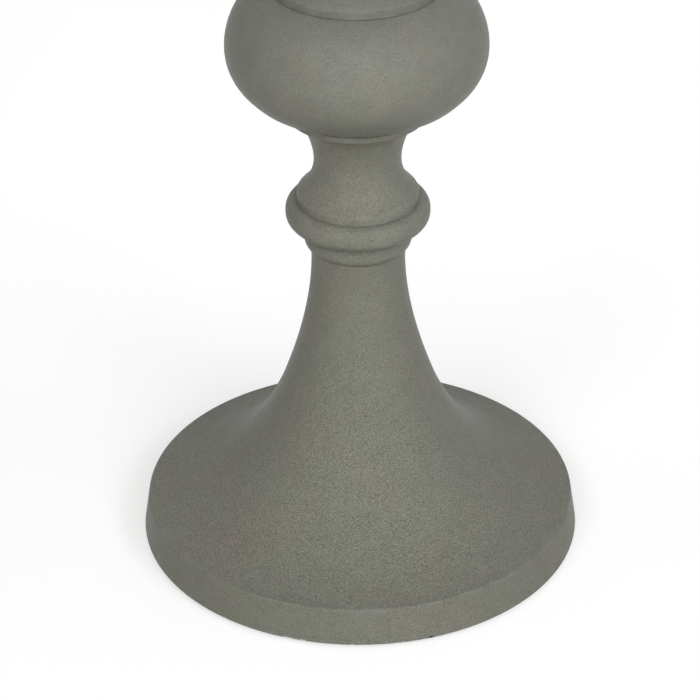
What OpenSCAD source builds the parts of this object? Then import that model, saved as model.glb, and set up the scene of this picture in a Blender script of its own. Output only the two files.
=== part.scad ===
// Turned-style candle holder: cast sections stacked on one steel rod.
// The origin is on the table, under the middle of the foot, with Z up.

/* [Foot] */
// Radius of the foot at the table
foot_r = 80; // [60:0.5:110]
// Height of the upright rim of the foot
rim_h = 14; // [8:0.5:24]
// How far the side of the rim leans in over its height
rim_lean = 1.9; // [0:0.1:5]
// Rounding of the rim's upper edge
rim_round = 0.9; // [0.3:0.1:3]
// Rounding of the rim's lower edge
rim_under_round = 0.8; // [0.3:0.1:3]
// Width of the rim's underside
rim_foot_w = 9; // [7:0.5:16]
// Height of the foot from its underside to its top seam
foot_h = 117.2; // [90:0.5:160]
// Height where the wide sweep turns into the slender stem
sweep_h = 59.6; // [40:0.5:90]
// Radius of the foot at that height
sweep_r = 28.2; // [20:0.5:45]
// Radius of the slender top of the foot
stem_r = 16.6; // [12:0.5:24]
// Length of the upright stretch at the top of the foot
stem_h = 3.7; // [1:0.1:10]
// Thickness of the foot's cast wall
foot_wall = 4.5; // [3:0.1:8]
// Height of the solid boss inside the top of the foot
boss_h = 25; // [14:0.5:40]

/* [Pads] */
// Number of felt pads under the rim
pad_count = 4; // [3:1:8]
// Radius of each felt pad
pad_r = 3; // [2:0.1:6]
// Angle of the first pad, sideways from the front
pad_turn = 19.2; // [0:0.1:90]
// Thickness of each felt pad
pad_t = 1.5; // [0.5:0.1:3]

/* [Collar and knop] */
// Radius of the round bead of the collar
collar_r = 19.1; // [15:0.1:30]
// Radius of the bead's own curve
collar_bead_r = 4.3; // [2:0.1:8]
// Height of the bead's widest line over the collar's seam
collar_mid_h = 3.8; // [2:0.1:8]
// Radius of the groove above the bead
groove_r = 17.4; // [12:0.1:24]
// Height of the collar
collar_h = 9.4; // [6:0.1:16]
// Radius of the knop ring
knop_r = 25.5; // [18:0.1:40]
// Radius of the knop's two rounded edges
knop_edge_r = 4.1; // [3:0.1:8]
// Height of the upright stretch between them
knop_side_h = 1.1; // [0.2:0.1:4]

/* [Neck] */
// Height of the neck section
neck_h = 36.1; // [26:0.1:60]
// Radius of the upright band at the bottom of the neck
neck_band_r = 21.5; // [16:0.1:34]
// Height of that band
neck_band_h = 4.2; // [2.6:0.1:8]
// Rounding of the band's shoulder
neck_round = 1.9; // [0.4:0.1:2.3]
// Radius of the narrowest place of the neck
neck_waist_r = 15.3; // [11:0.1:24]
// Height of the narrowest place over the neck's seam
neck_waist_h = 16; // [8:0.1:30]
// Radius of the lip that the bulb sits on
neck_lip_r = 25; // [17:0.1:34]
// Height of that lip
neck_lip_h = 2.3; // [1.8:0.1:4]
// Rounding of the lip's two edges
neck_lip_round = 0.6; // [0.2:0.1:0.8]

/* [Bulb] */
// Widest radius of the bulb
bulb_r = 45.2; // [30:0.1:70]
// Radius of the curve of the bulb's lower side
bulb_low_r = 19.2; // [12:0.1:30]
// Radius of the curve of the bulb's upper side
bulb_high_r = 25.5; // [14:0.1:36]
// Height of the bulb's widest line over its bottom edge
bulb_mid_h = 23.3; // [18:0.1:40]
// Slope where the lower curve meets the underside, from the horizontal
bulb_slope = 47.9; // [35:0.1:60]
// Radius of the bulb's upper seam
bulb_seam_r = 30.5; // [24:0.1:44]
// Thickness of the bulb's cast wall
bulb_wall = 4; // [3:0.1:7]
// Thickness of the bulb's two end walls
bulb_end_t = 5; // [3:0.1:9]

/* [Riser] */
// Height of the riser, the section above the bulb
riser_h = 48; // [30:0.5:90]
// Radius of the upright band at the bottom of the riser
riser_band_r = 30; // [22:0.1:44]
// Height of that band
riser_band_h = 4.2; // [2:0.1:9]
// Rounding of the band's shoulder
riser_round = 2; // [0.4:0.1:2.3]
// Radius of the narrowest place of the riser
riser_waist_r = 14.2; // [11:0.1:22]
// Height of the narrowest place over the riser's seam
riser_waist_h = 34; // [16:0.5:60]
// Radius of the lip at the top of the riser
riser_lip_r = 17.8; // [13:0.1:30]
// Height of the lip at the top of the riser
riser_lip_h = 1; // [0.8:0.1:3]
// Rounding of that lip's two edges
riser_lip_round = 0.3; // [0.1:0.1:0.3]
// Radius of the ring above the riser
ring_r = 21.5; // [16:0.1:34]
// Radius of that ring's two rounded edges
ring_edge_r = 3.6; // [3:0.1:7]
// Height of the upright stretch between them
ring_side_h = 0.8; // [0.2:0.1:4]

/* [Dish] */
// Height of the bell that carries the dish
bell_h = 24; // [16:0.5:40]
// Radius of the bell where it starts
bell_low_r = 14.6; // [13:0.1:24]
// Radius of the bell under the dish
bell_top_r = 31; // [24:0.5:50]
// Outer radius of the dish
dish_r = 58; // [45:0.5:80]
// Height of the dish from its underside to its rim
dish_h = 14; // [8:0.5:24]
// Thickness of the dish's floor
dish_t = 4; // [3:0.1:7]
// Width of the dish's rim
dish_rim_w = 3.2; // [2:0.1:6]
// Height of the slanted edge under the dish
dish_edge_h = 5; // [2:0.1:10]
// Width of the slanted edge under the dish
dish_edge_w = 6; // [2:0.1:14]
// Radius of the boss under the dish
dish_boss_r = 15; // [13:0.1:22]
// Height of the boss under the dish
dish_boss_h = 10; // [8.5:0.1:14]

/* [Rod and fasteners] */
// Radius of the threaded rod
rod_r = 4; // [3:0.5:6]
// Space between the rod and the castings' bores
rod_gap = 0.3; // [0.2:0.05:1]
// Radius of the locating spigots
spigot_r = 9; // [7:0.1:12]
// Height of the locating spigots
spigot_h = 3; // [2:0.1:5]
// Space round and over a spigot in its socket
spigot_gap = 0.3; // [0.1:0.05:0.6]
// Radius of the steel clamp plate inside the foot
plate_r = 12; // [9.5:0.1:13]
// Thickness of the clamp plate
plate_t = 2.5; // [1.5:0.1:5]
// Outer radius of the two spring washers
washer_r = 7.1; // [6.5:0.1:9]
// Thickness of the two spring washers
washer_t = 2; // [1:0.1:3]
// Width of the split in a spring washer
washer_split = 1.6; // [0.8:0.1:3]
// Width of the nut across its flats
nut_af = 13; // [11:0.5:17]
// Height of the nut
nut_h = 6.5; // [4:0.1:9]
// Length of rod that shows under the nut
rod_end = 5; // [1:0.5:12]
// Chamfer at the rod's ends and on the nut
thread_chamfer = 0.8; // [0.3:0.1:1.5]

/* [Spike] */
// Radius of the spike's threaded base
spike_base_r = 9.5; // [8:0.1:11]
// Height of the spike's threaded base
spike_base_h = 8; // [6:0.1:12]
// Width of the spike's base across its two flats
spike_base_af = 17; // [14:0.5:21]
// Depth of the thread in the spike's base
spike_thread_h = 6.8; // [4:0.1:9]
// Radius of the spike where it leaves its base
spike_r = 3.2; // [2:0.1:5]
// Length of the spike over its base
spike_h = 36; // [20:0.5:60]
// Radius of the spike's blunt point
spike_tip_r = 0.6; // [0.3:0.1:1.5]

/* [Hidden] */
$fn = 96;
// Lines in each curved stretch of an outline
steps = 28;
// Cutting tools run past a face by this much
over = 1;
// Small break on sharp cast edges
edge = 0.3;
// Space between the spike's base and its recess
recess_gap = 0.5;
// Space between a washer's hole and the rod
hole_gap = 0.3;
// Space between the rod and the threads that run on it
thread_gap = 0.05;
// Angle that a band's shoulder turns through before the sweep to the waist
shoulder_a = 32;
// Size of the nut's round bevel, as a share of its width across the flats
nut_bevel_share = 0.97;

// Handles of the curves, as shares of each curve's own width and height
sweep_low_shares = [[0.488, 0.11], [0.812, 0.518]];
sweep_high_shares = [[0.675, 0.38], [1, 0.712]];
waist_low_shares = [[0.173, 0.128], [1, 0.343]];
waist_high_shares = [[0, 0.24], [0.269, 0.89]];
bulb_under_shares = [[0.806, 0.777], [0.643, 0.411]];
bell_shares = [[0.05, 0.45], [0.45, 0.85]];

// Heights of the seams between the sections
foot_z = pad_t;
collar_z = foot_z + foot_h;
knop_z = collar_z + collar_h;
knop_h = 2 * knop_edge_r + knop_side_h;
neck_z = knop_z + knop_h;
bulb_z = neck_z + neck_h;

// The bulb's bottom edge meets the flat top of the neck's lip
bulb_base_r = neck_lip_r - neck_lip_round;
bulb_top_a = acos((bulb_seam_r - bulb_r + bulb_high_r) / bulb_high_r);
bulb_h = bulb_mid_h + bulb_high_r * sin(bulb_top_a);

riser_z = bulb_z + bulb_h;
ring_z = riser_z + riser_h;
ring_h = 2 * ring_edge_r + ring_side_h;
bell_z = ring_z + ring_h;
dish_z = bell_z + bell_h;
floor_z = dish_z + dish_t;

bore_r = rod_r + rod_gap;
socket_r = spigot_r + spigot_gap;
socket_h = spigot_h + spigot_gap;
long_spigot_h = bulb_end_t + spigot_gap;
boss_z = collar_z - boss_h;
nut_z = boss_z - plate_t - washer_t - nut_h;
rod_z = nut_z - rod_end;
recess_z = floor_z - spike_base_h - washer_t;
rod_top_z = recess_z + washer_t + spike_thread_h - edge;
recess_r = spike_base_r + recess_gap;
pad_place_r = foot_r - rim_under_round - rim_foot_w / 2;

function mix(a, b, share) = a + (b - a) * share;
function handle(p, q, shares) = [mix(p.x, q.x, shares.x), mix(p.y, q.y, shares.y)];
function cubic(a, b, c, d, t) =
  pow(1 - t, 3) * a + 3 * pow(1 - t, 2) * t * b + 3 * (1 - t) * t * t * c + pow(t, 3) * d;
// A smooth stretch from p to q, its two handles placed by shares
function sweep(p, q, shares) = [
  for (i = [0:steps]) cubic(p, handle(p, q, shares[0]), handle(p, q, shares[1]), q, i / steps)
];
// An arc about a centre, from angle a to angle b, measured from straight out
function arc(centre, r, a, b) = [
  for (i = [0:steps]) centre + r * [cos(mix(a, b, i / steps)), sin(mix(a, b, i / steps))]
];
// A short rounded corner
function corner(centre, r, a, b) = [
  for (i = [0:steps / 4]) centre + r * [cos(mix(a, b, 4 * i / steps)), sin(mix(a, b, 4 * i / steps))]
];
function unit(v) = v / norm(v);
// The same line moved inwards by a wall's thickness
function inset(line, wall) = [
  for (i = [0:len(line) - 1])
    let (a = line[max(i - 1, 0)], b = line[min(i + 1, len(line) - 1)], d = unit(b - a))
      line[i] + wall * [-abs(d.y), -abs(d.x)]
];

module turned(outline) {
  rotate_extrude() polygon(outline);
}

module drilled(z, h) {
  translate([0, 0, z - over]) cylinder(r = bore_r, h = h + 2 * over);
}

module socket(z) {
  translate([0, 0, z - over]) cylinder(r = socket_r, h = socket_h + over);
}

// A plug that locates the section above, with a broken edge
module spigot(z, h) {
  translate([0, 0, z]) cylinder(r = spigot_r, h = h - edge);
  translate([0, 0, z + h - edge]) cylinder(r1 = spigot_r, r2 = spigot_r - edge, h = edge);
}

// Outline of the foot's upper surface, from the rim's edge to the stem
foot_sweep_low = sweep([foot_r - rim_lean - rim_round, rim_h], [sweep_r, sweep_h], sweep_low_shares);
foot_sweep_high = sweep([sweep_r, sweep_h], [stem_r, foot_h - stem_h], sweep_high_shares);
foot_sweeps = concat(foot_sweep_low, [for (i = [1:steps]) foot_sweep_high[i]]);

module foot_casting() {
  under = corner([foot_r - rim_under_round, rim_under_round], rim_under_round, -90, 0);
  upper = corner([foot_r - rim_lean - rim_round, rim_h - rim_round], rim_round, 0, 90);
  body = concat([[0, 0]], under, upper, [for (i = [1:2 * steps]) foot_sweeps[i]],
    [[stem_r + edge, foot_h]], [[0, foot_h]]);
  hollow_top = foot_h - boss_h;
  rim_in_r = foot_r - rim_under_round - rim_foot_w;
  skin = [for (p = inset(foot_sweeps, foot_wall)) if (p.x < rim_in_r && p.y < hollow_top) p];
  hollow = concat([[0, -over], [rim_in_r, -over], [rim_in_r, skin[0].y]], skin,
    [[skin[len(skin) - 1].x, hollow_top], [0, hollow_top]]);
  color([0.47, 0.47, 0.43])
  difference() {
    union() {
      translate([0, 0, foot_z]) turned(body);
      spigot(collar_z, spigot_h);
    }
    translate([0, 0, foot_z]) turned(hollow);
    drilled(boss_z, boss_h + spigot_h);
  }
}

module felt_pads() {
  color([0.16, 0.14, 0.12])
  for (i = [0:pad_count - 1])
    rotate([0, 0, pad_turn - 90 + 360 * i / pad_count])
      translate([pad_place_r, 0, 0])
        cylinder(r = pad_r, h = pad_t);
}

module clamp_plate() {
  color([0.7, 0.7, 0.68])
  translate([0, 0, boss_z - plate_t])
  difference() {
    cylinder(r = plate_r, h = plate_t);
    translate([0, 0, -over]) cylinder(r = rod_r + hole_gap, h = plate_t + 2 * over);
  }
}

// A split washer, cut through on one side
module spring_washer(z) {
  color([0.62, 0.62, 0.6])
  translate([0, 0, z])
  difference() {
    cylinder(r = washer_r, h = washer_t);
    translate([0, 0, -over]) cylinder(r = rod_r + hole_gap, h = washer_t + 2 * over);
    translate([0, -washer_split / 2, -over]) cube([washer_r + over, washer_split, washer_t + 2 * over]);
  }
}

module foot_spring_washer() {
  spring_washer(boss_z - plate_t - washer_t);
}

module foot_nut() {
  corner_r = nut_af / 2 / cos(30);
  cone_r = nut_af / 2 * nut_bevel_share;
  color([0.75, 0.74, 0.7])
  translate([0, 0, nut_z])
  difference() {
    intersection() {
      cylinder(r = corner_r, h = nut_h, $fn = 6);
      union() {
        cylinder(r1 = cone_r, r2 = cone_r + 2 * thread_chamfer, h = thread_chamfer);
        translate([0, 0, thread_chamfer])
          cylinder(r = cone_r + 2 * thread_chamfer, h = nut_h - 2 * thread_chamfer);
        translate([0, 0, nut_h - thread_chamfer])
          cylinder(r1 = cone_r + 2 * thread_chamfer, r2 = cone_r, h = thread_chamfer);
      }
    }
    translate([0, 0, -over]) cylinder(r = rod_r + thread_gap, h = nut_h + 2 * over);
  }
}

module tie_rod() {
  rod_h = rod_top_z - rod_z;
  color([0.72, 0.72, 0.7])
  translate([0, 0, rod_z])
  turned([
    [0, 0],
    [rod_r - thread_chamfer, 0],
    [rod_r, thread_chamfer],
    [rod_r, rod_h - thread_chamfer],
    [rod_r - thread_chamfer, rod_h],
    [0, rod_h]
  ]);
}

module collar_ring() {
  middle = [collar_r - collar_bead_r, collar_mid_h];
  low_a = -asin(collar_mid_h / collar_bead_r);
  high_a = acos((groove_r - middle.x) / collar_bead_r);
  color([0.48, 0.48, 0.44])
  difference() {
    union() {
      translate([0, 0, collar_z])
        turned(concat([[0, 0]], arc(middle, collar_bead_r, low_a, high_a), [[groove_r, collar_h], [0, collar_h]]));
      spigot(knop_z, spigot_h);
    }
    socket(collar_z);
    drilled(collar_z, collar_h + spigot_h);
  }
}

// A flat ring with a full round side and its own spigot
module round_sided_ring(z, h, r, edge_r) {
  low = arc([r - edge_r, edge_r], edge_r, -90, 0);
  high = arc([r - edge_r, h - edge_r], edge_r, 0, 90);
  difference() {
    union() {
      translate([0, 0, z])
        turned(concat([[0, 0]], low, high, [[0, h]]));
      spigot(z + h, spigot_h);
    }
    socket(z);
    drilled(z, h + spigot_h);
  }
}

module knop_ring() {
  color([0.49, 0.49, 0.45])
  round_sided_ring(knop_z, knop_h, knop_r, knop_edge_r);
}

// Outline of a waisted section: band, rounded shoulder, waist and lip
function waisted(h, band_r, band_h, round_r, waist_r, waist_h, lip_r, lip_h, lip_round) =
  let (
    shoulder = corner([band_r - round_r, band_h - round_r], round_r, 0, shoulder_a),
    waist = [waist_r, waist_h],
    low = sweep(shoulder[len(shoulder) - 1], waist, waist_low_shares),
    high = sweep(waist, [lip_r - lip_round, h - lip_h], waist_high_shares),
    lip_low = corner([lip_r - lip_round, h - lip_h + lip_round], lip_round, -90, 0),
    lip_high = corner([lip_r - lip_round, h - lip_round], lip_round, 0, 90)
  )
  concat(
    [[0, 0], [band_r - edge, 0], [band_r, edge]],
    shoulder,
    [for (i = [1:steps]) low[i]],
    [for (i = [1:steps - 1]) high[i]],
    lip_low,
    lip_high,
    [[0, h]]
  );

module neck_casting() {
  color([0.48, 0.48, 0.44])
  difference() {
    union() {
      translate([0, 0, neck_z])
        turned(waisted(neck_h, neck_band_r, neck_band_h, neck_round, neck_waist_r, neck_waist_h,
          neck_lip_r, neck_lip_h, neck_lip_round));
      spigot(bulb_z, long_spigot_h);
    }
    socket(neck_z);
    drilled(neck_z, neck_h + long_spigot_h);
  }
}

module bulb_casting() {
  low = [bulb_r - bulb_low_r, bulb_mid_h];
  high = [bulb_r - bulb_high_r, bulb_mid_h];
  turn_a = bulb_slope - 90;
  low_line = arc(low, bulb_low_r, turn_a, 0);
  outside = concat(
    [[0, 0]],
    sweep([bulb_base_r, 0], low_line[0], bulb_under_shares),
    [for (i = [1:steps]) low_line[i]],
    arc(high, bulb_high_r, 0, bulb_top_a),
    [[0, bulb_h]]
  );
  wall_line = concat(
    arc(low, bulb_low_r - bulb_wall, turn_a, 0),
    arc(high, bulb_high_r - bulb_wall, 0, bulb_top_a)
  );
  kept = [for (p = wall_line) if (p.y < bulb_h - bulb_end_t) p];
  hollow = concat(
    [[0, bulb_end_t], [bulb_base_r, bulb_end_t]],
    kept,
    [[kept[len(kept) - 1].x, bulb_h - bulb_end_t], [0, bulb_h - bulb_end_t]]
  );
  color([0.49, 0.49, 0.45])
  translate([0, 0, bulb_z])
  difference() {
    turned(outside);
    turned(hollow);
    translate([0, 0, -over]) cylinder(r = socket_r, h = bulb_h + 2 * over);
  }
}

module riser_casting() {
  color([0.48, 0.48, 0.44])
  difference() {
    union() {
      translate([0, 0, riser_z])
        turned(waisted(riser_h, riser_band_r, riser_band_h, riser_round, riser_waist_r, riser_waist_h,
          riser_lip_r, riser_lip_h, riser_lip_round));
      translate([0, 0, riser_z - long_spigot_h]) cylinder(r = spigot_r, h = long_spigot_h);
      spigot(ring_z, spigot_h);
    }
    drilled(riser_z - long_spigot_h, riser_h + long_spigot_h + spigot_h);
  }
}

module upper_ring() {
  color([0.49, 0.49, 0.45])
  round_sided_ring(ring_z, ring_h, ring_r, ring_edge_r);
}

module bell_casting() {
  flare = sweep([bell_low_r, edge], [bell_top_r, bell_h - edge], bell_shares);
  seat_r = dish_boss_r + spigot_gap;
  color([0.48, 0.48, 0.44])
  translate([0, 0, bell_z])
  difference() {
    turned(concat([[0, 0], [bell_low_r, 0]], flare, [[bell_top_r, bell_h], [0, bell_h]]));
    translate([0, 0, bell_h - dish_boss_h - spigot_gap])
      cylinder(r = seat_r, h = dish_boss_h + spigot_gap + over);
    translate([0, 0, -bell_z]) socket(bell_z);
    translate([0, 0, -bell_z]) drilled(bell_z, bell_h);
  }
}

module dish_casting() {
  floor_r = dish_r - dish_rim_w;
  body = [
    [0, 0],
    [dish_r - dish_edge_w, 0],
    [dish_r - edge, dish_edge_h],
    [dish_r, dish_edge_h + edge],
    [dish_r, dish_h - edge],
    [dish_r - edge, dish_h],
    [floor_r + edge, dish_h],
    [floor_r, dish_h - edge],
    [floor_r, dish_t + edge],
    [floor_r - edge, dish_t],
    [0, dish_t]
  ];
  color([0.48, 0.48, 0.44])
  difference() {
    union() {
      translate([0, 0, dish_z]) turned(body);
      translate([0, 0, dish_z - dish_boss_h]) cylinder(r = dish_boss_r, h = dish_boss_h);
    }
    translate([0, 0, recess_z]) cylinder(r = recess_r, h = floor_z - recess_z + over);
    drilled(dish_z - dish_boss_h, dish_boss_h);
  }
}

module top_spring_washer() {
  spring_washer(recess_z);
}

module spike() {
  base_z = recess_z + washer_t;
  color([0.3, 0.3, 0.28])
  translate([0, 0, base_z])
  difference() {
    union() {
      intersection() {
        cylinder(r = spike_base_r, h = spike_base_h);
        translate([-spike_base_af / 2, -spike_base_r, 0]) cube([spike_base_af, 2 * spike_base_r, spike_base_h]);
      }
      translate([0, 0, spike_base_h]) cylinder(r1 = spike_r, r2 = spike_tip_r, h = spike_h);
    }
    translate([0, 0, -over]) cylinder(r = rod_r + thread_gap, h = spike_thread_h + over);
  }
}

foot_casting();
felt_pads();
clamp_plate();
foot_spring_washer();
foot_nut();
tie_rod();
collar_ring();
knop_ring();
neck_casting();
bulb_casting();
riser_casting();
upper_ring();
bell_casting();
dish_casting();
top_spring_washer();
spike();
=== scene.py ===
import bmesh
import bpy
import numpy as np
from mathutils import Matrix, Vector


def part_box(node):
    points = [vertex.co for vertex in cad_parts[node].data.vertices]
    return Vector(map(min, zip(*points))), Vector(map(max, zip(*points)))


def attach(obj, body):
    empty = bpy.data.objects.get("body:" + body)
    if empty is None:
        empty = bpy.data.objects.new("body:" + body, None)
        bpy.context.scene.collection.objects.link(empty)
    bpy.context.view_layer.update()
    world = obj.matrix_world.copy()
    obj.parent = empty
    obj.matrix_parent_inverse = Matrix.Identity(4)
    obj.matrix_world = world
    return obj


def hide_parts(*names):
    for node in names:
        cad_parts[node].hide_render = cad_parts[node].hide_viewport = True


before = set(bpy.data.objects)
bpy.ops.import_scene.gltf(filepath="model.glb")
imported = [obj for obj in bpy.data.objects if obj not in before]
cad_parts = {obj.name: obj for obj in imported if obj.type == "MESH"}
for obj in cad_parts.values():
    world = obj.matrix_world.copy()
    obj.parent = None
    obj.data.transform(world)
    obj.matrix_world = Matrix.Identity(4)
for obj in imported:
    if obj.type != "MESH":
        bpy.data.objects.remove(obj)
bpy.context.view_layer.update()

# Foot
# The foot is one sand casting in aluminium: a round rim, a wide sweep and a slender stem, hollow
# from below, with a thick boss inside its top that the tie rod clamps. It is powder coated in a
# matt grey-green with a fine sandy grain, and the coat only dusts the rough wall inside.
MM = 0.001

foot_low, foot_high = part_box("foot_casting")
collar_low, collar_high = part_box("collar_ring")
foot_z = foot_low.z
foot_top_z = collar_low.z
foot_r = (foot_high.x - foot_low.x) / 2
foot_wall = 4.5 * MM
rim_h = 14.0 * MM
rim_lean = 1.9 * MM
rim_round = 0.9 * MM
rim_under_round = 0.8 * MM
rim_t = 9.0 * MM
rim_in_r = foot_r - rim_under_round - rim_t
waist_at = (28.2 * MM, foot_z + 59.6 * MM)
stem_at = (16.6 * MM, foot_top_z - 3.7 * MM)
boss_h = 25.0 * MM
boss_z = foot_top_z - boss_h
rod_hole_r = 4.3 * MM
spigot_r = 9.0 * MM
spigot_h = 3.0 * MM
spigot_gap = 0.3 * MM
seam_break = 0.3 * MM
coat_round = 0.15 * MM
cast_round = 2.2 * MM


def arc(middle, radius, start, end, count=18):
    """Points middle + radius (cos t, sin t), with t running from start to end in degrees."""
    t = np.radians(np.linspace(start, end, count))
    return np.array(middle) + radius * np.stack([np.cos(t), np.sin(t)], axis=1)


def sweep(p, q, low, high, count=44):
    """The cubic (1-t)^3 p + 3 (1-t)^2 t a + 3 (1-t) t^2 b + t^3 q.
    Its handles a and b lie at the shares low and high of the way from p to q, across and up."""
    p, q = np.array(p), np.array(q)
    a = p + (q - p) * low
    b = p + (q - p) * high
    t = np.linspace(0, 1, count)[:, None]
    return (1 - t) ** 3 * p + 3 * (1 - t) ** 2 * t * a + 3 * (1 - t) * t ** 2 * b + t ** 3 * q


def inward(line, wall):
    """The line moved to its left by the wall's thickness, square to its own direction."""
    run = np.gradient(line, axis=0)
    run /= np.linalg.norm(run, axis=1)[:, None]
    return line + wall * np.stack([-run[:, 1], run[:, 0]], axis=1)


def eased(outline, radius, closed=True):
    """The outline with each corner c that turns by more than sharp degrees made round: the curve
    (1-t)^2 a + 2 t (1-t) c + t^2 b, whose ends a and b lie radius tan(turn / 2) from the corner,
    and no more than most_share of the way to the next point. A point just past each end keeps flat
    faces flat, and two points on each long straight run keep the wear at its ends."""
    sharp, most_turn, most_share, past_share, count = 9.0, 2.6, 0.42, 0.15, 5
    long_run, from_end, tiny = 3.2 * MM, 1.3 * MM, 1e-12
    back, ahead = np.roll(outline, 1, axis=0) - outline, np.roll(outline, -1, axis=0) - outline
    far_back, far_ahead = np.linalg.norm(back, axis=1), np.linalg.norm(ahead, axis=1)
    cosine = (back * ahead).sum(1) / (far_back * far_ahead + tiny)
    turn = np.pi - np.arccos(np.clip(cosine, -1, 1))
    cut = np.minimum(radius * np.tan(np.minimum(turn, most_turn) / 2),
                     most_share * np.minimum(far_back, far_ahead))
    to_a = back / np.maximum(far_back, tiny)[:, None] * cut[:, None]
    to_b = ahead / np.maximum(far_ahead, tiny)[:, None] * cut[:, None]
    a, b, c = (outline + to_a)[:, None], (outline + to_b)[:, None], outline[:, None]
    t = np.linspace(0, 1, count)[:, None]
    curve = (1 - t) ** 2 * a + 2 * t * (1 - t) * c + t ** 2 * b
    bend = np.concatenate([a + past_share * to_a[:, None], curve, b + past_share * to_b[:, None]], axis=1)
    plain = np.degrees(turn) < sharp
    if not closed:
        plain[[0, -1]] = True
    bend[plain, 0] = outline[plain]
    used = np.ones(bend.shape[:2], bool)
    used[plain, 1:] = False
    line = bend[used]
    run = np.roll(line, -1, axis=0) - line
    length = np.linalg.norm(run, axis=1)
    step = run / np.maximum(length, tiny)[:, None] * from_end
    split = length > long_run
    if not closed:
        split[-1] = False
    used = np.stack([np.ones(len(line), bool), split, split], axis=1)
    return np.stack([line, line + step, line + run - step], axis=1)[used]


def edge_share(outline, closed, reach=0.9 * MM):
    """How strongly the outline bends outwards at each point, 0 to 1: the turn within a short reach
    of it, over half a right angle. Corners that bend inwards give 0."""
    ahead = np.roll(outline, -1, axis=0) - outline
    back = outline - np.roll(outline, 1, axis=0)
    turn = np.arctan2(back[:, 0] * ahead[:, 1] - back[:, 1] * ahead[:, 0], (back * ahead).sum(1))
    if not closed:
        turn[[0, -1]] = 0
    gap = np.linalg.norm(outline[:, None] - outline[None], axis=2)
    weight = np.exp(-(gap / reach) ** 2)
    return np.clip((weight * turn).sum(1) / (np.pi / 4), 0, 1)


def side_faces(rows, rings, around):
    """The four-sided faces from each of the first rows of points to the row over it. Point c of
    row r has the index r around + c. The first point comes after the last, and so with the rings."""
    row, col = np.meshgrid(np.arange(rows), np.arange(around), indexing="ij")
    up, on = (row + 1) % rings, (col + 1) % around
    corners = [row * around + col, row * around + on, up * around + on, up * around + col]
    return np.stack(corners, axis=2).reshape(-1, 4)


def placed(name, data):
    """A new object at the origin that holds the data, linked into the scene."""
    piece = bpy.data.objects.new(name, data)
    bpy.context.scene.collection.objects.link(piece)
    return piece


def turned(name, outline, around=256, closed=True, groups=None, place=(0.0, 0.0)):
    """An outline of (r, z) points carried round an upright axis: (r, z) at angle a goes to
    (r cos a, r sin a, z). A closed outline makes a ring; an open one starts and ends on the axis.
    place is where the axis stands, and groups says which material each ring of faces has."""
    r, z = outline.T
    a = np.linspace(0, 2 * np.pi, around, endpoint=False)
    grid = np.stack([r[:, None] * np.cos(a) + place[0], r[:, None] * np.sin(a) + place[1],
                     z[:, None] + 0 * a], axis=2)
    rows = len(r) if closed else len(r) - 1
    mesh = bpy.data.meshes.new(name)
    mesh.from_pydata(grid.reshape(-1, 3), [], side_faces(rows, len(r), around))
    wear = np.repeat(edge_share(outline, closed), around).astype(np.float32)
    mesh.attributes.new("edge", "FLOAT", "POINT").data.foreach_set("value", wear)
    if groups is not None:
        mesh.polygons.foreach_set("material_index", np.repeat(groups[:rows], around).astype(np.int32))
    if not closed:
        same_place = 1e-7
        work = bmesh.new()
        work.from_mesh(mesh)
        bmesh.ops.remove_doubles(work, verts=work.verts, dist=same_place)
        work.to_mesh(mesh)
        work.free()
    mesh.shade_smooth()
    return placed(name, mesh)


foot_skin = np.concatenate([
    sweep((foot_r - rim_lean - rim_round, foot_z + rim_h), waist_at,
          low=(0.488, 0.11), high=(0.812, 0.518)),
    sweep(waist_at, stem_at, low=(0.675, 0.38), high=(1.0, 0.712))[1:]])
foot_inside = inward(foot_skin, foot_wall)[::-1]
foot_inside = foot_inside[(foot_inside[:, 0] < rim_in_r) & (foot_inside[:, 1] < boss_z)]
foot_outside = np.concatenate([
    arc((foot_r - rim_under_round, foot_z + rim_under_round), rim_under_round, -90, 0, 8),
    arc((foot_r - rim_lean - rim_round, foot_z + rim_h - rim_round), rim_round, 0, 90, 9),
    foot_skin[1:],
    [(stem_at[0] + seam_break, foot_top_z), (spigot_r, foot_top_z), (spigot_r, foot_top_z + spigot_h),
     (rod_hole_r, foot_top_z + spigot_h)]])
foot_within = np.concatenate([
    [(rod_hole_r, boss_z), (foot_inside[0, 0], boss_z)], foot_inside,
    [(rim_in_r, foot_inside[-1, 1]), (rim_in_r, foot_z)]])
within = eased(foot_within, cast_round, closed=False)
outside = eased(foot_outside, coat_round, closed=False)
foot = turned("foot", np.concatenate([within, outside]), around=300,
              groups=np.r_[np.ones(len(within)), np.zeros(len(outside))])


def new_group(name, inputs, outputs):
    """An empty shader group: inputs are {name: (type, default)}, outputs are {name: type}."""
    tree = bpy.data.node_groups.new(name, "ShaderNodeTree")
    for socket, (kind, value) in inputs.items():
        made = tree.interface.new_socket(name=socket, in_out="INPUT", socket_type=kind)
        made.default_value = value
    for socket, kind in outputs.items():
        tree.interface.new_socket(name=socket, in_out="OUTPUT", socket_type=kind)
    return tree, tree.nodes.new("NodeGroupInput").outputs, tree.nodes.new("NodeGroupOutput").inputs


def add(tree, kind, fields=None, **sockets):
    """A shader node of that kind. fields are its own settings, and sockets are values or other
    nodes' outputs, named as the node's inputs are, with _ for a blank, or by number after a _."""
    made = tree.nodes.new(kind)
    for field, value in (fields or {}).items():
        setattr(made, field, value)
    for socket, value in sockets.items():
        key = int(socket[1:]) if socket[1:].isdigit() else socket.replace("_", " ")
        if isinstance(value, bpy.types.NodeSocket):
            tree.links.new(value, made.inputs[key])
        else:
            made.inputs[key].default_value = value
    return made


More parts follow.
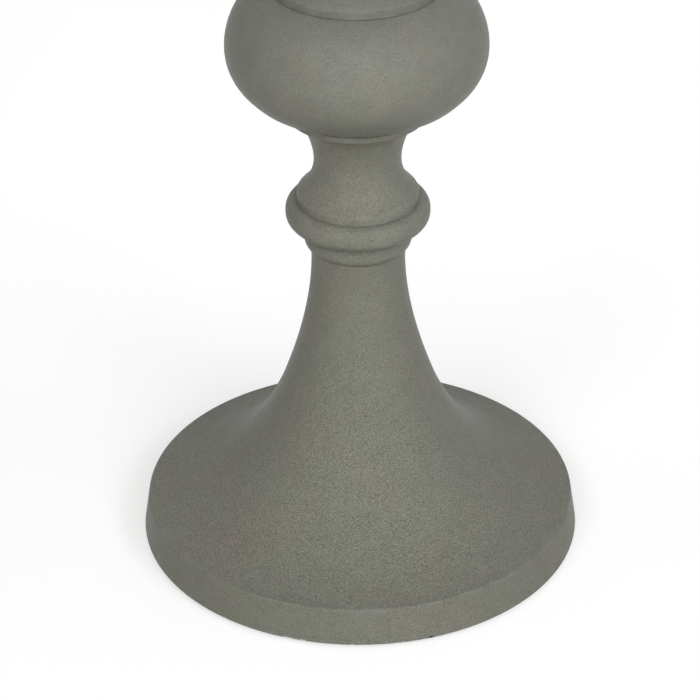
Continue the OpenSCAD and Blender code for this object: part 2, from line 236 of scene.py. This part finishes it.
def new_material(name):
    """A new material with its tree, its skin, which is the Principled node, and the place of each
    point in the piece's own coordinates."""
    material = bpy.data.materials.new(name)
    material.use_nodes = True
    tree = material.node_tree
    place = add(tree, "ShaderNodeTexCoord").outputs["Object"]
    return material, tree, tree.nodes["Principled BSDF"], place


def maths(tree, operation, *values):
    """The operation on the values, in their order. MULTIPLY_ADD gives first second + third."""
    sockets = {f"_{i}": value for i, value in enumerate(values)}
    return add(tree, "ShaderNodeMath", {"operation": operation}, **sockets).outputs[0]


def ramp(tree, value, low, high, at_low=0.0, at_high=1.0, soft=False):
    """at_low + (at_high - at_low) s, with s = (value - low) / (high - low) held within 0 and 1,
    or where soft, s^2 (3 - 2 s) in the place of s."""
    fields = {"interpolation_type": "SMOOTHSTEP" if soft else "LINEAR"}
    return add(tree, "ShaderNodeMapRange", fields, Value=value, From_Min=low, From_Max=high,
               To_Min=at_low, To_Max=at_high).outputs[0]


def noise(tree, place, scale, detail, rough=0.5, distortion=0.0):
    """Noise about 0.5, with scale cells to the metre and detail finer layers, each rough times as
    strong as the last."""
    return add(tree, "ShaderNodeTexNoise", Vector=place, Scale=scale, Detail=detail, Roughness=rough,
               Distortion=distortion).outputs["Fac"]


def mixed(tree, share, first, second, blend="MIX"):
    """The first colour where share is 0, and the second, or the two blended, where it is 1."""
    return add(tree, "ShaderNodeMix", {"data_type": "RGBA", "blend_type": blend}, _0=share,
               _6=first, _7=second).outputs[2]


def near(tree, place, spot, full, none, at_full=1.0, soft=True):
    """A mask round a spot: at_full up to the distance full from it, and 0 from the distance none."""
    away = add(tree, "ShaderNodeVectorMath", {"operation": "DISTANCE"}, _0=place, _1=spot)
    return ramp(tree, away.outputs["Value"], full, none, at_full, 0.0, soft)


# Sandy grain: grit of one cell size over a finer dust, with scattered pits, as a height
dust_finer = 2.4
pits_coarser = 0.7
dust_height = 0.3
pits_height = -0.2
pits_over = (0.62, 0.76)

grain_tree, given, result = new_group(
    "sandy_grain",
    {"Vector": ("NodeSocketVector", (0, 0, 0)), "Cells per Metre": ("NodeSocketFloat", 2500.0)},
    {"Height": "NodeSocketFloat", "Grit": "NodeSocketFloat", "Pits": "NodeSocketFloat"})
cells = given["Cells per Metre"]
grit = noise(grain_tree, given["Vector"], cells, 1.0)
dust = noise(grain_tree, given["Vector"], maths(grain_tree, "MULTIPLY", cells, dust_finer), 0.0)
blister = noise(grain_tree, given["Vector"], maths(grain_tree, "MULTIPLY", cells, pits_coarser), 0.0)
pits = ramp(grain_tree, blister, *pits_over, soft=True)
dusted = maths(grain_tree, "MULTIPLY_ADD", dust, dust_height, grit)
height = maths(grain_tree, "MULTIPLY_ADD", pits, pits_height, dusted)
grain_tree.links.new(height, result["Height"])
grain_tree.links.new(grit, result["Grit"])
grain_tree.links.new(pits, result["Pits"])

# Mottling: slow cloudy change between two colours, with a warm cast in places
cloud_scale = 34.0
warm_over = (0.42, 0.68)
most_warm = 0.5
fleck_scale = 150.0
fleck_range = (0.25, 0.75)
fleck_shade = 0.045
pits_shade = -0.05
rubbed_over = (0.45, 0.65)
most_rubbed = 0.5

mottle_tree, given, result = new_group(
    "coat_mottling",
    {"Vector": ("NodeSocketVector", (0, 0, 0)), "Colour": ("NodeSocketColor", (0.15, 0.15, 0.12, 1)),
     "Warm": ("NodeSocketColor", (0.16, 0.145, 0.12, 1)),
     "Worn": ("NodeSocketColor", (0.2, 0.2, 0.17, 1)),
     "Grit": ("NodeSocketFloat", 0.5), "Pits": ("NodeSocketFloat", 0.0),
     "Contrast": ("NodeSocketFloat", 0.6), "Edge": ("NodeSocketFloat", 0.0)},
    {"Colour": "NodeSocketColor", "Cloud": "NodeSocketFloat"})
cloud = noise(mottle_tree, given["Vector"], cloud_scale, 3.0, 0.6)
fleck = noise(mottle_tree, given["Vector"], fleck_scale, 2.0)
warm_share = ramp(mottle_tree, cloud, *warm_over, at_high=most_warm, soft=True)
warmed = mixed(mottle_tree, warm_share, given["Colour"], given["Warm"])
shade = ramp(mottle_tree, fleck, *fleck_range, 1 - fleck_shade, 1 + fleck_shade)
centred = maths(mottle_tree, "SUBTRACT", given["Grit"], 0.5)
pitted = maths(mottle_tree, "MULTIPLY_ADD", given["Pits"], pits_shade, centred)
speck = maths(mottle_tree, "MULTIPLY_ADD", pitted, given["Contrast"], 1.0)
shaded = add(mottle_tree, "ShaderNodeVectorMath", {"operation": "SCALE"}, Vector=warmed,
             Scale=maths(mottle_tree, "MULTIPLY", shade, speck)).outputs[0]
touched = ramp(mottle_tree, fleck, *rubbed_over, at_high=most_rubbed)
rubbed = maths(mottle_tree, "MULTIPLY", given["Edge"], touched)
worn = mixed(mottle_tree, rubbed, shaded, given["Worn"])
mottle_tree.links.new(worn, result["Colour"])
mottle_tree.links.new(cloud, result["Cloud"])

coat_gloss = 0.16
cloud_range = (0.3, 0.7)


def coated(name, colour, warm, worn, rough=(0.34, 0.43), depth=0.25 * MM, cells=2700.0, contrast=1.05):
    """A powder-coated casting: mottled colour, grain in the bump, roughness that follows the clouds."""
    material, tree, skin, place = new_material(name)
    edge = add(tree, "ShaderNodeAttribute", {"attribute_name": "edge"}).outputs["Fac"]
    grain = add(tree, "ShaderNodeGroup", {"node_tree": grain_tree}, Vector=place,
                Cells_per_Metre=cells).outputs
    cover = add(tree, "ShaderNodeGroup", {"node_tree": mottle_tree}, Vector=place, Colour=(*colour, 1),
                Warm=(*warm, 1), Worn=(*worn, 1), Grit=grain["Grit"], Pits=grain["Pits"],
                Contrast=contrast, Edge=edge).outputs
    bump = add(tree, "ShaderNodeBump", Strength=1.0, Distance=depth, Height=grain["Height"])
    skin.inputs["Specular IOR Level"].default_value = coat_gloss
    tree.links.new(cover["Colour"], skin.inputs["Base Color"])
    tree.links.new(ramp(tree, cover["Cloud"], *cloud_range, *rough), skin.inputs["Roughness"])
    tree.links.new(bump.outputs["Normal"], skin.inputs["Normal"])
    return material


foot_contrast = 2.35
foot_coat = coated("foot_coat", (0.160, 0.1605, 0.1265), (0.168, 0.159, 0.1265), (0.190, 0.191, 0.163),
                   depth=0.42 * MM, contrast=foot_contrast)
raw_wall = coated("raw_wall", (0.115, 0.113, 0.105), (0.165, 0.160, 0.150), (0.2, 0.2, 0.19),
                  rough=(0.62, 0.8), depth=0.6 * MM, cells=700.0, contrast=1.2)

# Marks on the foot: weaker grain on the rim's side and up the stem, a faint brown stain on the
# left, small chips down to bare metal along the lowest edge, and one near-black spot without gloss in it
rim_grain = 0.65
rim_grain_z = (13.0 * MM, 16.5 * MM)
stem_grain = 0.6
stem_grain_z = (25.0 * MM, 95.0 * MM)
stain_at = (-46.0 * MM, -34.0 * MM, 22.0 * MM)
stain_reach = (8.0 * MM, 44.0 * MM)
stain_scale = 75.0
stain_over = (0.40, 0.68)
stain_tint = (1.0, 0.925, 0.945, 1)
chips_at = (-23.1 * MM, -76.5 * MM, 1.8 * MM)
chips_reach = (3.0 * MM, 6.0 * MM)
chips_z = (2.2 * MM, 3.2 * MM)
chips_scale = 620.0
chips_over = (0.63, 0.65)
chips_more = 0.15
bare_metal = (0.62, 0.61, 0.58, 1)
dark_spot_at = (24.6 * MM, -76.0 * MM, 1.4 * MM)
dark_spot_reach = (1.0 * MM, 1.3 * MM)
dark_spot_tone = (0.014, 0.012, 0.010, 1)

tree = foot_coat.node_tree
skin = tree.nodes["Principled BSDF"]
coat_colour = skin.inputs["Base Color"].links[0].from_socket
place = add(tree, "ShaderNodeTexCoord").outputs["Object"]
height = add(tree, "ShaderNodeSeparateXYZ", Vector=place).outputs["Z"]

up_stem = ramp(tree, height, *stem_grain_z, foot_contrast, stem_grain * foot_contrast)
over_rim = ramp(tree, height, *rim_grain_z, rim_grain, 1.0, soft=True)
tree.links.new(maths(tree, "MULTIPLY", up_stem, over_rim), coat_colour.node.inputs["Contrast"])

patches = ramp(tree, noise(tree, place, stain_scale, 4.0, 0.65), *stain_over, soft=True)
stained = maths(tree, "MULTIPLY", near(tree, place, stain_at, *stain_reach), patches)
browned = mixed(tree, stained, coat_colour, stain_tint, "MULTIPLY")

lowest = ramp(tree, height, *chips_z, 1.0, 0.0)
near_chips = near(tree, place, chips_at, *chips_reach, at_full=chips_more, soft=False)
flakes = maths(tree, "ADD", noise(tree, place, chips_scale, 3.0, 0.7), near_chips)
bare = ramp(tree, maths(tree, "MULTIPLY", lowest, flakes), *chips_over)
chipped = mixed(tree, bare, browned, bare_metal)

# A near-black spot without gloss on the rim's lowest edge
dark_spot = near(tree, place, dark_spot_at, *dark_spot_reach)
tree.links.new(mixed(tree, dark_spot, chipped, dark_spot_tone), skin.inputs["Base Color"])
tree.links.new(ramp(tree, dark_spot, 0.0, 1.0, coat_gloss, 0.0), skin.inputs["Specular IOR Level"])
tree.links.new(bare, skin.inputs["Metallic"])


def finished(piece, slot, node, *materials):
    """Gives the piece its materials, lets it ride on the one body and hides the imported part of its
    node. slot is not used.
    """
    for material in materials:
        piece.data.materials.append(material)
    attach(piece, "root")
    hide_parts(node)


finished(foot, "sand_coat", "foot_casting", foot_coat, raw_wall)

# Felt pads
# Round pads of dark pressed felt are glued under the rim, so the metal doesn't scratch a table.
# They are punched from sheet: flat below, with a slightly furry cut edge.
pad_low, pad_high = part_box("felt_pads")
pad_count = 4
pad_round = 0.3 * MM
fibre_scale = 2600.0
fibre_depth = 0.25 * MM
felt_dark = (0.020, 0.016, 0.013, 1)
felt_light = (0.085, 0.070, 0.058, 1)
felt_rough = (0.88, 1.0)


def points_of(mesh):
    """The places of the mesh's points, one row each."""
    points = np.zeros(len(mesh.vertices) * 3)
    mesh.vertices.foreach_get("co", points)
    return points.reshape(-1, 3)


pad_points = points_of(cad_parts["felt_pads"].data)
pad_ring_r = np.hypot(pad_points[:, 0], pad_points[:, 1])
pad_r = (pad_ring_r.max() - pad_ring_r.min()) / 2
pad_place_r = (pad_ring_r.max() + pad_ring_r.min()) / 2
outermost = pad_points[pad_ring_r.argmax()]
pad_angle = np.arctan2(outermost[1], outermost[0])

felt, tree, skin, place = new_material("felt")
fibre = noise(tree, place, fibre_scale, 4.0, 0.7, distortion=1.2)
fuzz = add(tree, "ShaderNodeBump", Strength=1.0, Distance=fibre_depth, Height=fibre)
skin.inputs["Sheen Weight"].default_value = 0.3
tree.links.new(mixed(tree, fibre, felt_dark, felt_light), skin.inputs["Base Color"])
tree.links.new(ramp(tree, fibre, 0.0, 1.0, *felt_rough), skin.inputs["Roughness"])
tree.links.new(fuzz.outputs["Normal"], skin.inputs["Normal"])

pad_outline = np.array([(0, pad_low.z), (pad_r, pad_low.z), (pad_r, pad_high.z), (0, pad_high.z)])
pad_outline = eased(pad_outline, pad_round, closed=False)
for i in range(pad_count):
    a = pad_angle + i * 2 * np.pi / pad_count
    pad = turned(f"felt_pad_{i + 1}", pad_outline, around=48, closed=False,
                 place=(pad_place_r * np.cos(a), pad_place_r * np.sin(a)))
    finished(pad, "felt", "felt_pads", felt)

# Tie rod
# A zinc-plated steel rod runs through every casting and holds the stack together. Its two ends have
# a rolled thread, for the nut inside the foot and for the spike's base over the dish.
rod_low, rod_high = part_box("tie_rod")
rod_r = 4.0 * MM
rod_chamfer = 0.8 * MM
thread_pitch = 1.25 * MM
thread_depth = 0.62 * MM
thread_run = 34.0 * MM
bloom_scale = 260.0
bloom_range = (0.3, 0.7)
bloom_depth = 0.03 * MM
crystal_scale = 1400.0
crystal_height = 0.3

haze_tree, given, result = new_group(
    "zinc_haze",
    {"Vector": ("NodeSocketVector", (0, 0, 0)), "Bright": ("NodeSocketColor", (0.62, 0.62, 0.6, 1)),
     "Dull": ("NodeSocketColor", (0.42, 0.42, 0.41, 1))},
    {"Colour": "NodeSocketColor", "Haze": "NodeSocketFloat", "Height": "NodeSocketFloat"})
bloom = noise(haze_tree, given["Vector"], bloom_scale, 5.0, 0.65)
crystal = add(haze_tree, "ShaderNodeTexVoronoi", Vector=given["Vector"], Scale=crystal_scale)
rise = maths(haze_tree, "MULTIPLY_ADD", crystal.outputs["Distance"], crystal_height, bloom)
haze_tree.links.new(mixed(haze_tree, bloom, given["Bright"], given["Dull"]), result["Colour"])
haze_tree.links.new(bloom, result["Haze"])
haze_tree.links.new(rise, result["Height"])


def plated(name, bright, dull, rough):
    """Zinc plating: bright metal under a cloudy bloom, which also dulls the gloss."""
    material, tree, skin, place = new_material(name)
    haze = add(tree, "ShaderNodeGroup", {"node_tree": haze_tree}, Vector=place, Bright=(*bright, 1),
               Dull=(*dull, 1)).outputs
    bump = add(tree, "ShaderNodeBump", Strength=0.6, Distance=bloom_depth, Height=haze["Height"])
    skin.inputs["Metallic"].default_value = 1.0
    tree.links.new(haze["Colour"], skin.inputs["Base Color"])
    tree.links.new(ramp(tree, haze["Haze"], *bloom_range, *rough), skin.inputs["Roughness"])
    tree.links.new(bump.outputs["Normal"], skin.inputs["Normal"])
    return material


def threaded(name, low, high, radius, around=40, per_turn=10, plain_rings=10):
    """A rod whose radius at height z and angle a is R - d h(z / pitch - a / turn): h rises from 0 at
    each crest to 1 at each root, rounded at both, and fades out in the plain shank between the ends."""
    near_low = np.arange(0, thread_run, thread_pitch / per_turn)
    shank = np.linspace(thread_run, high - low - thread_run, plain_rings + 2)[1:-1]
    z = np.concatenate([near_low, shank, (high - low) - near_low[::-1]])
    a = np.linspace(0, 2 * np.pi, around, endpoint=False)
    phase = z[:, None] / thread_pitch - a / (2 * np.pi)
    root = 0.5 - 0.5 * np.cos(2 * np.pi * phase)
    end = np.minimum(z, high - low - z)[:, None]
    fade = np.clip((thread_run - end) / (2 * thread_pitch), 0, 1)
    chamfer = np.clip(rod_chamfer - end, 0, None)
    r = np.minimum(radius - thread_depth * root * fade, radius - chamfer)
    grid = np.stack([r * np.cos(a), r * np.sin(a), low + z[:, None] + 0 * a], axis=2)
    ends = np.array([[0, 0, low], [0, 0, high]])
    sides = side_faces(len(z) - 1, len(z), around)
    first = np.arange(around)
    last = first + (len(z) - 1) * around
    low_middle, high_middle = np.full(around, len(z) * around), np.full(around, len(z) * around + 1)
    low_end = np.stack([np.roll(first, -1), first, low_middle], axis=1)
    high_end = np.stack([last, np.roll(last, -1), high_middle], axis=1)
    mesh = bpy.data.meshes.new(name)
    mesh.from_pydata(np.concatenate([grid.reshape(-1, 3), ends]), [],
                     sides.tolist() + low_end.tolist() + high_end.tolist())
    smooth = np.r_[np.ones(len(sides), bool), np.zeros(2 * around, bool)]
    mesh.polygons.foreach_set("use_smooth", smooth)
    return placed(name, mesh)


bright_zinc = plated("bright_zinc", (0.66, 0.66, 0.63), (0.45, 0.45, 0.43), rough=(0.22, 0.42))
rod = threaded("rod", rod_low.z, rod_high.z, rod_r)
finished(rod, "zinc_steel", "tie_rod", bright_zinc)

# Clamp plate, spring washers and nut
# A punched steel disc bridges the hollow end of the foot's boss, a split spring washer keeps the
# stack tight, and a plain hexagon nut pulls it up. The second spring washer sits under the spike.
plate_low, plate_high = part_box("clamp_plate")
plate_r = (plate_high.x - plate_low.x) / 2
plate_round = 0.4 * MM
dull_zinc = plated("dull_zinc", (0.50, 0.50, 0.48), (0.33, 0.33, 0.32), rough=(0.34, 0.55))
plate_outline = np.array([(rod_hole_r, plate_low.z), (plate_r, plate_low.z),
                          (plate_r, plate_high.z), (rod_hole_r, plate_high.z)])
plate = turned("plate", eased(plate_outline, plate_round), around=128)
finished(plate, "zinc_steel", "clamp_plate", dull_zinc)

for steel_node, plating in (("foot_spring_washer", dull_zinc), ("top_spring_washer", dull_zinc),
                            ("foot_nut", bright_zinc)):
    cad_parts[steel_node].data.materials.clear()
    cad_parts[steel_node].data.materials.append(plating)

# Collar ring
# The first casting on the foot: a round bead with a narrow groove over it. It drops over the foot's
# spigot and has a spigot of its own, and the rod clamps it face to face. Its coat is the same, a
# little smoother than the foot's.
knop_low, knop_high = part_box("knop_ring")
collar_z = collar_low.z
knop_z = knop_low.z
collar_r = collar_high.x
bead_r = 4.3 * MM
bead_h = 3.8 * MM
groove_r = 17.4 * MM
socket_r = spigot_r + spigot_gap
socket_h = spigot_h + spigot_gap
stem_coat = coated("stem_coat", (0.164, 0.1645, 0.1305), (0.170, 0.163, 0.1305), (0.190, 0.191, 0.163),
                   depth=0.35 * MM, contrast=1.65)


def stacked(outside, bottom_z, top_z, top_spigot=spigot_h):
    """The closed outline of a drilled casting: socket below, the given outside, spigot above."""
    return np.concatenate([
        [(rod_hole_r, bottom_z + socket_h), (socket_r, bottom_z + socket_h), (socket_r, bottom_z)],
        outside,
        [(spigot_r, top_z), (spigot_r, top_z + top_spigot), (rod_hole_r, top_z + top_spigot)]])


bead_middle = (collar_r - bead_r, collar_z + bead_h)
bead_start = -np.degrees(np.arcsin(bead_h / bead_r))
bead_end = np.degrees(np.arccos((groove_r - bead_middle[0]) / bead_r))
collar_side = np.concatenate([arc(bead_middle, bead_r, bead_start, bead_end, 30), [(groove_r, knop_z)]])
collar = turned("collar", eased(stacked(collar_side, collar_z, knop_z), coat_round))
finished(collar, "sand_coat", "collar_ring", stem_coat)

# Knop ring
# A wider flat ring with a full round side, cast and turned all over before it was coated. It is
# the widest ring of the stem, and the neck stands on it.
neck_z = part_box("neck_casting")[0].z
knop_edge_r = 4.1 * MM


def round_side(bottom_z, top_z, radius, edge_r):
    """A flat ring's side: two quarter circles with a short upright stretch between them."""
    return np.concatenate([arc((radius - edge_r, bottom_z + edge_r), edge_r, -90, 0, 20),
                           arc((radius - edge_r, top_z - edge_r), edge_r, 0, 90, 20)])


knop_side = round_side(knop_z, neck_z, knop_high.x, knop_edge_r)
knop = turned("knop", eased(stacked(knop_side, knop_z, neck_z), coat_round))
finished(knop, "sand_coat", "knop_ring", stem_coat)

# Neck
# A waisted casting between the knop and the bulb: an upright band with a soft shoulder, a long
# hollow curve and a rounded lip under the bulb. Its long upper spigot closes the bulb's core hole.
bulb_low, bulb_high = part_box("bulb_casting")
bulb_z = bulb_low.z
bulb_end_t = 5.0 * MM
neck_lip_r = 25.0 * MM


def waisted(bottom_z, top_z, band_r, band_h, shoulder, waist_r, waist_h, lip_r, lip_h, lip_round):
    """A waisted side: an upright band, a rounded shoulder, a sweep in to the waist and a sweep out
    to the lip, each as arc and sweep give it."""
    waist = (waist_r, bottom_z + waist_h)
    turn = arc((band_r - shoulder, bottom_z + band_h - shoulder), shoulder, 0, 32, 10)
    return np.concatenate([
        [(band_r, bottom_z)], turn,
        sweep(turn[-1], waist, low=(0.173, 0.128), high=(1.0, 0.343))[1:],
        sweep(waist, (lip_r - lip_round, top_z - lip_h), low=(0.0, 0.24), high=(0.269, 0.89))[1:-1],
        arc((lip_r - lip_round, top_z - lip_h + lip_round), lip_round, -90, 0, 7),
        arc((lip_r - seam_break, top_z - seam_break), seam_break, 0, 90, 5)])


neck_side = waisted(neck_z, bulb_z, band_r=21.5 * MM, band_h=4.2 * MM, shoulder=1.9 * MM,
                    waist_r=15.3 * MM, waist_h=16.0 * MM, lip_r=neck_lip_r, lip_h=2.3 * MM,
                    lip_round=0.6 * MM)
neck = turned("neck", eased(stacked(neck_side, neck_z, bulb_z, bulb_end_t + spigot_gap), coat_round))
finished(neck, "sand_coat", "neck_casting", stem_coat)

# Bulb
# The big round body is a cored casting, hollow inside, wider than it is high: a flat underside
# that swells over the neck's lip, a tight lower curve and a fuller upper one to the riser's seam.
riser_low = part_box("riser_casting")[0]
bulb_r = bulb_high.x
bulb_top_z = bulb_high.z
bulb_low_curve = 19.2 * MM
bulb_high_curve = 25.5 * MM
bulb_slope = 47.9
bulb_base_r = neck_lip_r - seam_break
bulb_wall = 4.0 * MM
bulb_widest_h = 23.3 * MM
bulb_mid_z = bulb_z + bulb_widest_h
bulb_top_angle = np.degrees(np.arcsin((bulb_top_z - bulb_mid_z) / bulb_high_curve))
sand_coat = coated("sand_coat", (0.150, 0.151, 0.122), (0.156, 0.150, 0.121), (0.183, 0.185, 0.158))

low_middle = (bulb_r - bulb_low_curve, bulb_mid_z)
high_middle = (bulb_r - bulb_high_curve, bulb_mid_z)
low_line = arc(low_middle, bulb_low_curve, bulb_slope - 90, 0, 48)
bulb_outside = np.concatenate([
    [(socket_r, bulb_z)],
    sweep((bulb_base_r, bulb_z), low_line[0], low=(0.806, 0.777), high=(0.643, 0.411)),
    low_line[1:],
    arc(high_middle, bulb_high_curve, 0, bulb_top_angle, 52)[1:],
    [(socket_r, bulb_top_z), (socket_r, bulb_top_z - bulb_end_t)]])
bulb_inside = np.concatenate([
    arc(low_middle, bulb_low_curve - bulb_wall, bulb_slope - 90, 0, 30),
    arc(high_middle, bulb_high_curve - bulb_wall, 0, bulb_top_angle, 30)[1:]])[::-1]
bulb_inside = bulb_inside[bulb_inside[:, 1] < bulb_top_z - bulb_end_t]
bulb_inside = np.concatenate([
    [(bulb_inside[0, 0], bulb_top_z - bulb_end_t)], bulb_inside,
    [(bulb_base_r, bulb_z + bulb_end_t), (socket_r, bulb_z + bulb_end_t)]])
bulb = turned("bulb", eased(np.concatenate([bulb_outside, bulb_inside]), coat_round), around=288)
finished(bulb, "sand_coat", "bulb_casting", sand_coat)

# Riser
# The casting above the bulb repeats the neck in a taller form: band, shoulder, long waist, lip.
# A plug under it closes the bulb's upper core hole. Its coat is a darker copy of the bulb's: painted
# shade from the dish above.
ring_low, ring_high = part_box("upper_ring")
riser_z = bulb_top_z
ring_z = ring_low.z
# The riser and everything above it get the coat painted darker: painted shade standing in for the dish's
# shadow on the riser.
shaded_upper_coat = coated("shaded_upper_coat", (0.134, 0.135, 0.108), (0.140, 0.134, 0.108), (0.165, 0.167, 0.143))

riser_side = waisted(riser_z, ring_z, band_r=30.0 * MM, band_h=4.2 * MM, shoulder=2.0 * MM,
                     waist_r=14.2 * MM, waist_h=34.0 * MM, lip_r=17.8 * MM, lip_h=1.0 * MM,
                     lip_round=0.3 * MM)
riser_outline = np.concatenate([
    [(rod_hole_r, riser_low.z), (spigot_r, riser_low.z), (spigot_r, riser_z)], riser_side,
    [(spigot_r, ring_z), (spigot_r, ring_z + spigot_h), (rod_hole_r, ring_z + spigot_h)]])
riser = turned("riser", eased(riser_outline, coat_round))
finished(riser, "sand_coat", "riser_casting", shaded_upper_coat)

# Upper ring
# A smaller round-sided ring between the riser and the bell, cast, turned and coated like the knop, with
# the coat painted darker as shade from the dish.
# It sits on the riser's spigot, and the bell sits on its own.
bell_low, bell_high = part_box("bell_casting")
bell_z = bell_low.z
ring_edge_r = 3.6 * MM
ring_side = round_side(ring_z, bell_z, ring_high.x, ring_edge_r)
ring = turned("ring", eased(stacked(ring_side, ring_z, bell_z), coat_round))
finished(ring, "sand_coat", "upper_ring", shaded_upper_coat)

# Bell
# A trumpet-shaped casting opens out under the dish and carries it. Its deep seat takes the dish's
# boss, and its foot sits on the upper ring.
dish_low, dish_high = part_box("dish_casting")
dish_boss_h = 10.0 * MM
dish_z = dish_low.z + dish_boss_h
bell_foot_r = 14.6 * MM
bell_seat_r = 15.3 * MM
bell_seat_z = dish_low.z - spigot_gap
bell_side = sweep((bell_foot_r, bell_z + seam_break), (bell_high.x, dish_z - seam_break),
                  low=(0.05, 0.45), high=(0.45, 0.85))
bell_outline = np.concatenate([
    [(rod_hole_r, bell_z + socket_h), (socket_r, bell_z + socket_h), (socket_r, bell_z),
     (bell_foot_r, bell_z)],
    bell_side,
    [(bell_high.x, dish_z), (bell_seat_r, dish_z), (bell_seat_r, bell_seat_z),
     (rod_hole_r, bell_seat_z)]])
bell = turned("bell", eased(bell_outline, coat_round))
finished(bell, "sand_coat", "bell_casting", shaded_upper_coat)

# Dish
# The flat dish carries the candle: a thin cast floor, an upright rim, a slanted edge below, a boss
# that seats in the bell, and a round recess for the spike's base in its middle.
dish_r = dish_high.x
dish_boss_r = 15.0 * MM
dish_slant_r = dish_r - 6.0 * MM
dish_slant_h = 5.0 * MM
dish_floor_z = dish_z + 4.0 * MM
dish_floor_r = dish_r - 3.2 * MM
dish_round = 0.7 * MM
recess_r = 10.0 * MM
recess_z = dish_floor_z - 10.0 * MM
dish_outline = np.array([
    (rod_hole_r, dish_low.z), (dish_boss_r, dish_low.z), (dish_boss_r, dish_z), (dish_slant_r, dish_z),
    (dish_r, dish_z + dish_slant_h), (dish_r, dish_high.z), (dish_floor_r, dish_high.z),
    (dish_floor_r, dish_floor_z), (recess_r, dish_floor_z), (recess_r, recess_z),
    (rod_hole_r, recess_z)])
dish = turned("dish", eased(dish_outline, dish_round), around=320)
finished(dish, "sand_coat", "dish_casting", shaded_upper_coat)

# Spike
# A blunt steel spike holds the candle. Its base is screwed down on the rod with a spanner on two
# flats, and the whole piece wears the upper parts' coat, painted darker as shade, rubbed brighter at the
# point.
spike_low, spike_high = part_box("spike")
spike_base_r = 9.5 * MM
spike_base_h = 8.0 * MM
spike_base_z = spike_low.z + spike_base_h
spike_bore_z = spike_low.z + 6.8 * MM
spike_flat = 8.5 * MM
spike_r = 3.2 * MM
spike_tip_r = 0.6 * MM
spike_round = 0.5 * MM
spike_outline = eased(np.array([
    (rod_r, spike_low.z), (spike_base_r, spike_low.z), (spike_base_r, spike_base_z),
    (spike_r, spike_base_z), (spike_tip_r, spike_high.z), (0, spike_high.z)]), spike_round, closed=False)
spike_outline = np.concatenate([[(0, spike_bore_z), (rod_r, spike_bore_z)], spike_outline])
spike = turned("spike_pin", spike_outline, around=96, closed=False)
spike_points = points_of(spike.data)
spike_points[:, 0] = np.clip(spike_points[:, 0], -spike_flat, spike_flat)
spike.data.vertices.foreach_set("co", spike_points.ravel())
spike.data.update()
finished(spike, "sand_coat", "spike", shaded_upper_coat)

# Table, light and camera
# The holder stands on a plain white table inside a white surround. Broad soft lamps light it from
# the front and both sides, and weak ones from behind. The table's own faint glow rises away from
# the camera, so the ground looks evenly white. The camera looks down on the holder.
floor_half = 4.0
floor_tone = (0.485, 0.48, 0.455, 1)
white = (1, 1, 1, 1)
glow_y = (-0.05, 0.28)
glow_strength = (0.54, 0.68)
surround_strength = (0.18, 1.0)
lamp_aim = Vector((0, 0, 0.15))
camera_place = (0.0, -0.960, 0.66703)
camera_down = 0.55313
camera_turn = 0.00338
camera_roll = -0.00919

floor_mesh = bpy.data.meshes.new("table")
floor_mesh.from_pydata([(-floor_half, -floor_half, 0), (floor_half, -floor_half, 0),
                        (floor_half, floor_half, 0), (-floor_half, floor_half, 0)], [], [(0, 1, 2, 3)])
table = placed("table", floor_mesh)
table_paint, tree, skin, place = new_material("table_paint")
skin.inputs["Base Color"].default_value = floor_tone
skin.inputs["Roughness"].default_value = 0.9
skin.inputs["Specular IOR Level"].default_value = 0.1


def looked_at(tree):
    """1 for a ray that shows its surface to the camera, straight, in a gloss or through glass, and
    0 for any other."""
    path = add(tree, "ShaderNodeLightPath").outputs
    direct = maths(tree, "MAXIMUM", path["Is Camera Ray"], path["Is Glossy Ray"])
    return maths(tree, "MAXIMUM", direct, path["Is Transmission Ray"])


away = add(tree, "ShaderNodeSeparateXYZ", Vector=place).outputs["Y"]
lift = maths(tree, "MULTIPLY", looked_at(tree), ramp(tree, away, *glow_y, *glow_strength, soft=True))
glow = add(tree, "ShaderNodeEmission", Color=white, Strength=lift)
whole = add(tree, "ShaderNodeAddShader", _0=skin.outputs[0], _1=glow.outputs[0])
tree.links.new(whole.outputs[0], tree.nodes["Material Output"].inputs["Surface"])
floor_mesh.materials.append(table_paint)

world = bpy.data.worlds.new("surround")
bpy.context.scene.world = world
world.use_nodes = True
tree = world.node_tree
surround = tree.nodes["Background"]
surround.inputs["Color"].default_value = white
tree.links.new(ramp(tree, looked_at(tree), 0.0, 1.0, *surround_strength), surround.inputs["Strength"])

for name, stand, size, power, tint in (
        ("front_lamp", (0.0, -1.71, 0.71), 0.8, 16.6, (0.99, 0.99, 1.02)),
        ("right_front_lamp", (0.83, -1.32, 1.05), 0.7, 15.2, (0.96, 0.98, 1.06)),
        ("left_front_lamp", (-0.69, -1.19, 1.31), 0.7, 10.7, (0.98, 0.98, 1.04)),
        ("right_lamp", (1.10, -0.64, 1.42), 0.6, 4.8, (0.96, 0.98, 1.06)),
        ("back_lamp", (0.0, 1.63, 0.91), 1.2, 1.2, (0.97, 1.0, 1.03)),
        ("back_left_lamp", (-1.0, 1.19, 1.05), 0.8, 0.6, (0.97, 1.0, 1.03)),
        ("back_right_lamp", (1.0, 1.19, 1.05), 0.8, 1.0, (0.97, 1.0, 1.03)),
        ("low_back_lamp", (0.0, 2.38, 0.48), 2.0, 0.8, (0.97, 1.0, 1.03))):
    light = bpy.data.lights.new(name, "AREA")
    light.size = size
    light.energy = power
    light.color = tint
    lamp = placed(name, light)
    lamp.location = stand
    lamp.rotation_euler = (lamp_aim - Vector(stand)).to_track_quat("-Z", "Y").to_euler()

camera_data = bpy.data.cameras.new("camera")
camera_data.lens = 160.75
camera_data.sensor_width = 36.0
camera_data.clip_end = 20.0
camera = placed("camera", camera_data)
camera.matrix_world = (Matrix.Translation(camera_place) @ Matrix.Rotation(camera_turn, 4, "Z")
                       @ Matrix.Rotation(np.pi / 2 - camera_down, 4, "X")
                       @ Matrix.Rotation(camera_roll, 4, "Z"))
bpy.context.scene.camera = camera
bpy.context.scene.view_settings.view_transform = "Standard"
